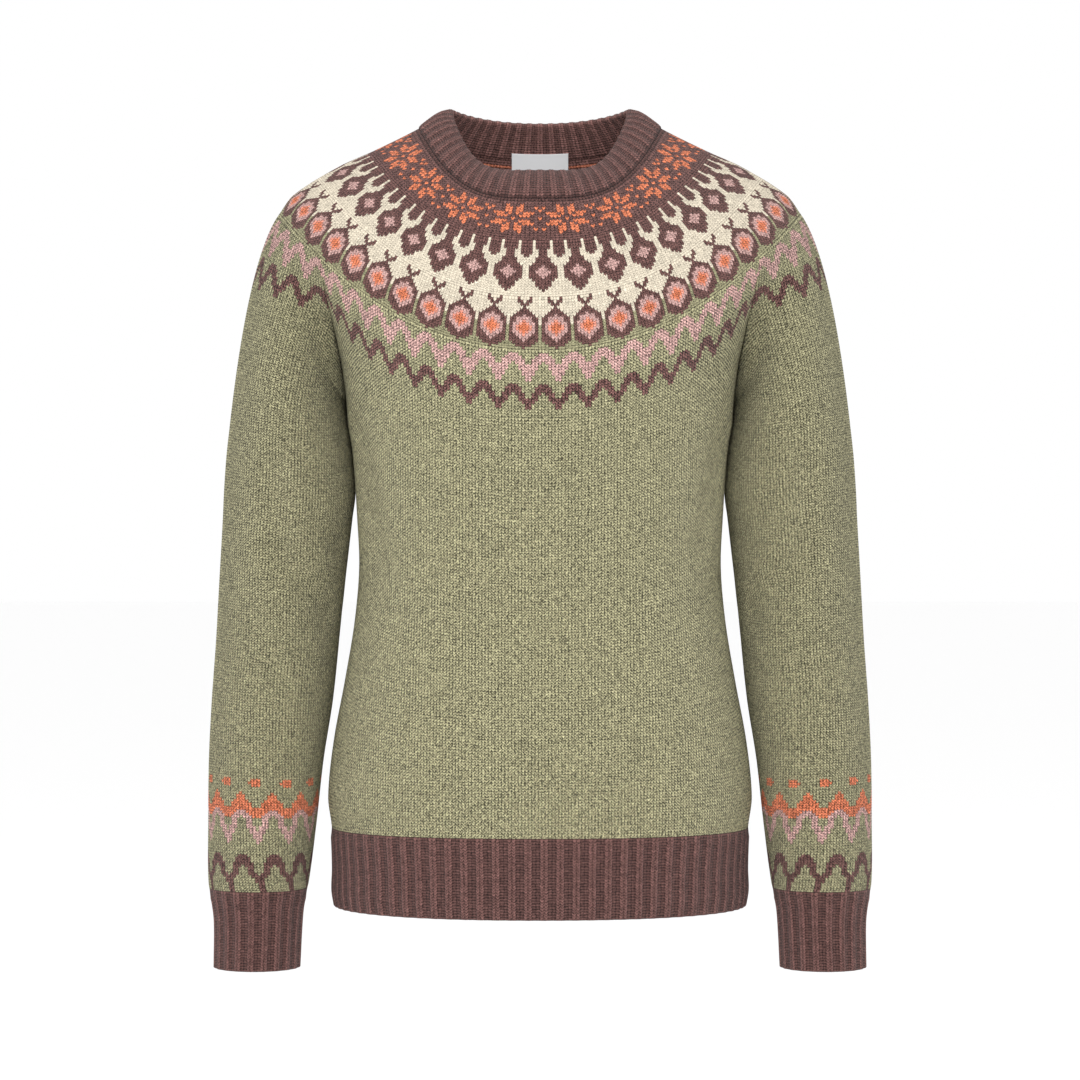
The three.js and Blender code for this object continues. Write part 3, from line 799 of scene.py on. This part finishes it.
def knit_piece(wall, surface, seed, arm=False):
    """A piece knitted from the yoke down. Rows keep one height under the yoke, stretched over the top
    of an arm by one less the square of the way to its seams, and then share out the length to the
    ribbing. Stitches keep one width from the middle line and stop at the seams. Inside is a coarser
    wall at the cloth's thickness. The flat width, length and area come back in metres."""
    middle = 80
    across, down = np.linspace(-1, 1, 2 * middle + 1), np.linspace(0, 2, 241)
    lengths = passed(surface(across[None, :], down[:, None]))
    rows = int(round(lengths[-1, middle] / ROW))
    r = np.arange(rows + 1)
    tall = ROW * (1 + (OVER_THE_ARM * (1 - across**2) if arm else 0 * across))
    near, fixed = r[:, None] * tall, FIXED_ROWS * tall
    far = fixed + (r[:, None] - FIXED_ROWS) / (rows - FIXED_ROWS) * (lengths[-1] - fixed)
    depth = np.clip(np.where(r[:, None] < FIXED_ROWS, near, far), SEAM, lengths[-1] - SEAM)
    downs = np.stack([np.interp(depth[:, c], lengths[:, c], down) for c in range(len(across))], axis=1)
    along = passed(surface(across[None, :], downs), axis=1).T
    along = along - along[:, middle : middle + 1]
    left, right = along[:, 0] + SEAM, along[:, -1] - SEAM
    reach = int(np.ceil(max(-left.min(), right.max()) / (STITCH / 2)))
    h = np.arange(-reach, reach + 1)
    wanted = np.broadcast_to(h * STITCH / 2, (rows + 1, len(h)))
    snap = 0.2 * STITCH
    first = np.sum(wanted <= left[:, None] + snap, axis=1) - 1
    last = len(h) - np.sum(wanted >= right[:, None] - snap, axis=1)
    spot = np.clip(np.arange(len(h))[None, :], first[:, None], last[:, None])
    at_left = np.arange(len(h))[None, :] <= first[:, None]
    at_right = np.arange(len(h))[None, :] >= last[:, None]
    clamped = at_left | at_right
    wanted = np.where(at_left, left[:, None], wanted)
    wanted = np.where(at_right, right[:, None], wanted)
    place = np.array([np.interp(wanted[i], along[i], across) for i in r])
    hang = np.array([np.interp(place[i], across, downs[i]) for i in r])
    next_hang = np.array([np.interp(place[i], across, downs[min(i + 1, rows)]) for i in r])
    inner_rows = (r > 0) & (r < rows)
    lowered = (~clamped & (h % 2 == 0)[None, :] & inner_rows[:, None]) * LEG_DROP
    hang = hang + (next_hang - hang) * lowered
    normal = outward(surface, place, hang, (-1, 1), (0, 2))
    sunk = np.where(clamped, 1.5, 1.0) * SUNK * np.maximum(clamped, (h % 2)[None, :])
    points = surface(place, hang) - normal * sunk[..., None]
    ids = wall.add_points(points)
    ids = np.take_along_axis(ids, spot, axis=1)
    column = wanted / STITCH + 0.5
    row = np.broadcast_to(seamless(r)[:, None], ids.shape)
    stitch = np.floor((h[:-1] + 0.5) / 2 + 0.5).astype(int)
    colours = np.tile(YARNS["G"], (rows, len(stitch), 1))
    count = len(ZIGZAGS)
    grid = np.broadcast_to(np.arange(count)[:, None], (count, len(stitch)))
    colours[:count] = chart_colours(ZIGZAGS, grid, np.broadcast_to(stitch + 3, grid.shape))
    if arm:
        count = len(ARM_PATTERN)
        grid = np.broadcast_to(np.arange(count)[:, None], (count, len(stitch)))
        colours[-count:] = chart_colours(ARM_PATTERN, grid, np.broadcast_to(stitch + 2, grid.shape))
        colours = colours * ARM_SHADE
    light = heather(rows, stitch.max() - stitch.min() + 1, seed)
    wall.add_cells(ids, column, row, colours * light[:, stitch - stitch.min()])

    inner_across = np.linspace(-1, 1, LINING_COLUMNS + 1) * 0.9991
    inner_rows = np.unique(np.append(np.arange(0, rows, LINING_ROWS), rows))
    inner_down = np.array([np.interp(inner_across, across, downs[i]) for i in inner_rows])
    inner_place = np.broadcast_to(inner_across, inner_down.shape)
    normal = outward(surface, inner_place, inner_down, (-1, 1), (0, 2))
    inner = wall.add_points(surface(inner_place, inner_down) - normal * CLOTH)
    lining = np.tile(YARNS["G"] * 0.9, (len(inner_rows) - 1, LINING_COLUMNS, 1))
    column = inner_place * 2 * LINING_COLUMNS
    row = inner_rows[:, None] + 0 * inner_place
    wall.add_cells(inner, column, row, lining, inside=True)
    edge = YARNS["G"] * EDGE_SHADE
    for line, flip in ((0, False), (-1, True)):
        kept = np.s_[first[line] : last[line] + 1]
        wall.add_rim(ids[line, kept], place[line, kept], inner[line], inner_across, edge, flip)
    for side, flip in ((0, True), (-1, False)):
        wall.add_rim(ids[:, side], r, inner[:, side], inner_rows, edge, flip)
    widths = (right - left) / 1000
    heights = np.diff(depth.mean(axis=1)) / 1000
    area = float(np.sum((widths[1:] + widths[:-1]) / 2 * heights))
    return float(widths.max()), float(lengths[-1].max() / 1000), area


body_wool = yarn_material("body_wool", 2.1, 7.0)
shapes = {}
pieces = {}
for name, surface, node, seed, arm, mirror in (
    ("front_knitting", front_surface, "front", 21, False, False),
    ("back_knitting", back_surface, "back", 22, False, False),
    ("left_sleeve_knitting", sleeve_surface, "sleeve_left", 23, True, False),
    ("right_sleeve_knitting", sleeve_surface, "sleeve_right", 24, True, True),
):
    piece_wall = Wall()
    shapes[node] = knit_piece(piece_wall, surface, seed, arm)
    pieces[node] = piece_wall.build(name, body_wool, mirror)
    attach(pieces[node], "root")
    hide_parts(node)

# Hem and cuffs: two-by-two ribbing in the brown yarn, knitted on to the body and the sleeves. The knit
# columns stand up as ribs and the purl columns sink between them.
HEM_Z = -600
CUFF_END_Z = -646
RIB_CLOTH = 2.4
RIB_POINTS = 8  # columns of points to a rib and its valley
RIB_HEATHER = 0.09
RIB_LIFTS = np.array([0.45, 1.3, 1.0, 1.3, 0.45, 0.1, 0.0, 0.1])
# How light each cell of a rib and its valley is beside the yarn: painted highlight on the rib, painted
# shade in the purl valley.
RIB_PAINTED_LIGHT_AND_SHADE = np.array([1.15, 1.05, 1.0, 1.2, 0.68, 0.7, 0.7, 0.62])


def knit_ribbing(wall, surface, levels, ribs, closed, seed):
    """A band of ribbing, raised by RIB_LIFTS. The middles of the knit stitches hang lower than their
    sides. Inside is plain."""
    top, bottom = levels
    rows = int(round((top - bottom) / ROW))
    h = np.arange(RIB_POINTS * ribs + 1)
    r = np.arange(rows + 1)
    ribbed = h % RIB_POINTS
    place = -1 + 2 * h / (RIB_POINTS * ribs)
    if not closed:
        place = place * 0.9993
    inner_rows = (r > 0) & (r < rows)
    lowered = inner_rows[:, None] * np.isin(ribbed, (1, 3))[None, :] * LEG_DROP
    z = top - SEAM - (r[:, None] + lowered) * (top - bottom - SEAM) / rows
    place = np.broadcast_to(place, z.shape)
    span = ALL_ROUND if closed else (-1, 1)

    def hanging(across, down):
        """The surface by the way down from the ribbing's top."""
        return surface(across, top - down)

    normal = outward(hanging, place, top - z, span, (0, top - bottom))
    lift = RIB_LIFTS[ribbed][None, :] * np.where(r == rows, 0.6, np.minimum(r / 3, 1))[:, None]
    points = surface(place, z) + normal * lift[..., None]
    add = wall.add_ring if closed else wall.add_points
    ids = add(points)
    column = np.broadcast_to(h / 2, ids.shape)
    row = np.broadcast_to(r[:, None], ids.shape)
    light = heather(rows, 4 * ribs, seed, RIB_HEATHER)[:, h[:-1] // 2]
    wall.add_cells(ids, column, row, YARNS["B"] * light * RIB_PAINTED_LIGHT_AND_SHADE[ribbed[:-1]][None, :, None])

    levels_inside = 7
    inner_place = np.broadcast_to(place[0, ::4], (levels_inside, 2 * ribs + 1))
    inner_z = np.linspace(z[0, 0], bottom, levels_inside)[:, None] + 0 * inner_place
    normal = outward(hanging, inner_place, top - inner_z, span, (0, top - bottom))
    inner = add(surface(inner_place, inner_z) - normal * RIB_CLOTH)
    edge = YARNS["B"] * EDGE_SHADE
    lining = np.tile(edge, (levels_inside - 1, 2 * ribs, 1))
    row = np.arange(levels_inside)[:, None] * 5 + 0 * inner_place
    wall.add_cells(inner, inner_place * 2 * ribs, row, lining, inside=True)
    for line, flip in ((0, False), (-1, True)):
        wall.add_rim(ids[line], place[0], inner[line], inner_place[0], edge, flip)
    if not closed:
        for side, flip in ((0, True), (-1, False)):
            wall.add_rim(ids[:, side], -z[:, 0], inner[:, side], -inner_z[:, 0], edge, flip)
    lengths = passed(points, axis=1)[-1]
    return float(lengths.max() / 1000), float((top - bottom) / 1000)


rib_wool = yarn_material("rib_wool", 1.0, 2.4)
for name, surface, node, levels, ribs, closed, seed, mirror in (
    ("front_hem_ribbing", lambda a, z: body_point(front_angle((a + 1) / 2, z), z), "hem_rib_front",
     (RIB_TOP_Z, HEM_Z), 38, False, 31, False),
    ("back_hem_ribbing", lambda a, z: body_point(back_angle((a + 1) / 2, z), z), "hem_rib_back",
     (RIB_TOP_Z, HEM_Z), 38, False, 32, False),
    ("left_cuff_ribbing", lambda a, z: sleeve_point(a * np.pi, z), "cuff_left",
     (CUFF_TOP_Z, CUFF_END_Z), 20, True, 33, False),
    ("right_cuff_ribbing", lambda a, z: sleeve_point(a * np.pi, z), "cuff_right",
     (CUFF_TOP_Z, CUFF_END_Z), 20, True, 34, True),
):
    piece_wall = Wall()
    shapes[node] = knit_ribbing(piece_wall, surface, levels, ribs, closed, seed)
    pieces[node] = piece_wall.build(name, rib_wool, mirror)
    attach(pieces[node], "root")
    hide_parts(node)

# The neckband: the same ribbing picked up round the neck, folded double to the inside and linked down
# along the yoke's first row.
BAND_BASE = 3.6  # thickness of the double cloth
NECK_RIBS = 56
BAND_ROWS = 16  # rows of points on each side of the fold
BAND_BULGE = 1.5  # how far the outside stands out at half its height
BAND_CORNER = 0.25  # share of the way round at which the band crosses a shoulder
CORNER_WIDTH = 0.045
CORNER_DROP = 4  # how far the fold sinks there


def knit_neckband(wall, seed):
    """A closed tube of cloth round the neck: up the inside, round the fold on a half circle, down the
    outside and back under. Ribs stand out along the tube's own outward direction, weaker near the seam
    and the fold. The outside bulges by a power of the sine of its height, and the fold sinks by a bell
    shape at each shoulder."""
    half = BAND_BASE / 2
    side = np.linspace(-SEAM, half - BAND_HEIGHT, BAND_ROWS)
    bend = np.linspace(np.pi, 0, 7)[1:-1]
    drop = np.concatenate([side, half - BAND_HEIGHT - half * np.sin(bend), side[::-1]])
    flat, straight = np.zeros(BAND_ROWS), np.ones(BAND_ROWS)
    sunk = np.concatenate([straight * BAND_BASE, half - half * np.cos(bend), flat])
    lean = np.concatenate([-straight, np.cos(bend), straight])
    rise = np.concatenate([flat, np.sin(bend), flat])
    h = np.arange(RIB_POINTS * NECK_RIBS + 1)
    r = np.arange(len(drop))
    knit_middle = np.isin(h % RIB_POINTS, (1, 3))
    outside = (r > BAND_ROWS + len(bend)) & (r < r[-1])
    lowered = outside[:, None] * knit_middle[None, :] * LEG_DROP * ROW
    share = np.broadcast_to((h - 2) / (RIB_POINTS * NECK_RIBS), (len(r), len(h)))
    level = np.minimum(drop[:, None] + lowered, -SEAM)
    normal = outward(ring_surface, share, level, ALL_ROUND, RING_DROPS)
    upwards = unit(ring_surface(share, level - 0.5) - ring_surface(share, level + 0.5))
    from_fold = np.clip((drop + BAND_HEIGHT) / 8, 0, 1) * (lean > 0.9)
    strength = (0.4 + 0.6 * from_fold) * np.clip(0.25 - drop / 5, 0.25, 1)
    lift = RIB_LIFTS[h % RIB_POINTS][None, :] * strength[:, None]
    points = ring_surface(share, level) - normal * sunk[:, None, None]
    height = np.clip(-level / BAND_HEIGHT, 0, 1)
    bulge = np.where(lean > 0, BAND_BULGE, 0) * lean
    lift = lift + bulge[:, None] * np.sin(np.pi * height) ** 0.7
    points = points + (normal * lean[:, None, None] + upwards * rise[:, None, None]) * lift[..., None]
    corner = (np.abs(np.abs((share + 0.5) % 1 - 0.5) - BAND_CORNER) / CORNER_WIDTH) ** 2
    points[..., 2] -= CORNER_DROP * height**2 * np.exp(-corner)
    ids = wall.add_ring(points)
    ids = np.concatenate([ids, ids[:1]])
    column = np.broadcast_to(h / 2, ids.shape)
    row = np.broadcast_to(np.arange(len(ids))[:, None], ids.shape)
    light = heather(len(r), 4 * NECK_RIBS, seed, RIB_HEATHER)[:, h[:-1] // 2]
    # The ribs' painted highlight and the valleys' painted shade, as on the hem and cuffs.
    valley = RIB_PAINTED_LIGHT_AND_SHADE[h[:-1] % RIB_POINTS][None, :, None]
    # Painted light: the inside of the band, seen through the neck in weaker light, is lifted 1.9 times,
    # the outside 1.08 times.
    inside_light, outside_light = 1.9, 1.08
    band_painted_light = np.where(lean < 0, inside_light, outside_light)
    # The band's last two rows, in the seam, get the same painted shade for the shadow under the collar.
    band_painted_light = np.where(r >= r[-1] - 1, PAINTED_COLLAR_SHADE, band_painted_light)[:, None, None]
    wall.add_cells(ids, column, row, YARNS["B"] * light * valley * band_painted_light)


band_wall = Wall()
knit_neckband(band_wall, 41)
pieces["neckband"] = band_wall.build("neckband_ribbing", rib_wool)
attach(pieces["neckband"], "root")
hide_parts("neckband")

# The label: a small strip of woven white satin with nothing on it, its top edge sewn in at the neckband
# seam at the back of the neck.
LABEL_WIDTH, LABEL_TOP, LABEL_DROP = 46, -5, 30
LABEL_COLUMNS, LABEL_ROWS = 24, 16
LABEL_CLEAR = 0.6


def label_sheet(wall):
    """The strip lies on the inside of the back, clear of the neckband: a grid on the surface moved in
    by the band's thickness and LABEL_CLEAR, and the same again 1 mm further in."""
    down = LABEL_TOP + np.linspace(0, LABEL_DROP, LABEL_ROWS + 1)
    across, drop = np.meshgrid(np.linspace(-1, 1, LABEL_COLUMNS + 1), down)
    half = row_at(YOKE_RINGS, drop)[1]
    angle = np.pi + np.arcsin(across * LABEL_WIDTH / 2 / half)
    normal = outward(yoke_point, angle, drop, ALL_ROUND, RING_DROPS)
    surface = yoke_point(angle, drop)
    outer = wall.add_points(surface - normal * (BAND_BASE + LABEL_CLEAR))
    inner = wall.add_points(surface - normal * (BAND_BASE + LABEL_CLEAR + 1))
    white = np.ones((LABEL_ROWS, LABEL_COLUMNS, 3))
    wall.add_cells(outer, across, drop / 10, white)
    wall.add_cells(inner, across, drop / 10, white, inside=True)
    for line, flip in ((0, False), (-1, True)):
        wall.add_rim(outer[line], across[0], inner[line], across[0], white[0, 0], flip, (0, 0))
    for side, flip in ((0, True), (-1, False)):
        wall.add_rim(outer[:, side], drop[:, 0], inner[:, side], drop[:, 0], white[0, 0], flip, (0, 0))


satin = bpy.data.materials.new("label_satin")
satin.use_nodes = True
gloss = satin.node_tree.nodes["Principled BSDF"]
gloss.inputs["Base Color"].default_value = (*linear("fafbfd"), 1)
gloss.inputs["Roughness"].default_value = 0.42
gloss.inputs["Sheen Weight"].default_value = 0.1
label_wall = Wall()
label_sheet(label_wall)
label = label_wall.build("label_strip", satin)
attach(label, "root")
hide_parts("neck_label")


# What each piece is knitted to, laid flat. Nothing is cut: the rings, panels and tubes come off the
# needles in their shape, so their own lengths are measured on the surfaces above.
def ring_length(drop):
    """How long the ring at this drop is, in metres."""
    return float(passed(ring_surface(np.linspace(0, 1, 361), drop))[-1]) / 1000


yoke_rings = [ring_length(drop) for drop in np.linspace(0, YOKE_DEPTH, 13)]
for node in ("front", "back", "sleeve_left", "sleeve_right"):
    width, length, area = shapes[node]
band_rings = [ring_length(drop) for drop in (-33, -22, -11, 0)]

# A plain pale floor, soft light from the front and above, and the camera of the photograph.
FLOOR_Z = -0.9
floor_mesh = bpy.data.meshes.new("floor")
floor_corners = [(-9, -6, FLOOR_Z), (9, -6, FLOOR_Z), (9, 30, FLOOR_Z), (-9, 30, FLOOR_Z)]
floor_mesh.from_pydata(floor_corners, [], [(0, 1, 2, 3)])
floor = bpy.data.objects.new("floor", floor_mesh)
bpy.context.scene.collection.objects.link(floor)
pale = bpy.data.materials.new("pale_floor")
pale.use_nodes = True
floor_shader = pale.node_tree.nodes["Principled BSDF"]
floor_shader.inputs["Base Color"].default_value = (0.98, 0.98, 0.98, 1)
floor_shader.inputs["Roughness"].default_value = 0.9
floor_mesh.materials.append(pale)
floor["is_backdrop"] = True

world = bpy.data.worlds.new("studio")
world.use_nodes = True
sky = world.node_tree.nodes["Background"]
sky.inputs["Color"].default_value = (1, 1, 1, 1)
sky.inputs["Strength"].default_value = 1.0
bpy.context.scene.world = world
bpy.context.scene.view_settings.view_transform = "Standard"


def softbox(name, place, target, size, power):
    """A square light at a place, turned to a target."""
    light = bpy.data.lights.new(name, "AREA")
    light.shape = "SQUARE"
    light.size = size
    light.energy = power
    lamp = bpy.data.objects.new(name, light)
    lamp.location = place
    way = np.array(target) - np.array(place)
    tilt = np.arctan2(np.hypot(way[0], way[1]), -way[2])
    lamp.rotation_euler = (tilt, 0, np.arctan2(-way[0], way[1]))
    bpy.context.scene.collection.objects.link(lamp)
    lamp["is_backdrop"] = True


softbox("key_light", (-0.5, -2.2, 1.7), (0, 0, -0.3), 1.6, 32)
softbox("fill_light", (0.3, -3.0, 0.1), (0, 0, -0.3), 1.8, 27)

PHOTO_DISTANCE = 2.7
PHOTO_WIDTH = 0.8424  # what the photograph takes in at the garment's middle
SENSOR = 36
camera_data = bpy.data.cameras.new("camera")
camera_data.lens = SENSOR * PHOTO_DISTANCE / PHOTO_WIDTH
camera_data.sensor_width = SENSOR
camera = bpy.data.objects.new("camera", camera_data)
camera.location = (0, -PHOTO_DISTANCE, -0.316)
camera.rotation_euler = (np.pi / 2, 0, 0)
bpy.context.scene.collection.objects.link(camera)
bpy.context.scene.camera = camera

shown_low, shown_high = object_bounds()
numbers = [[round(float(v), 5) for v in corner] for corner in (cad_low, cad_high, shown_low, shown_high)]
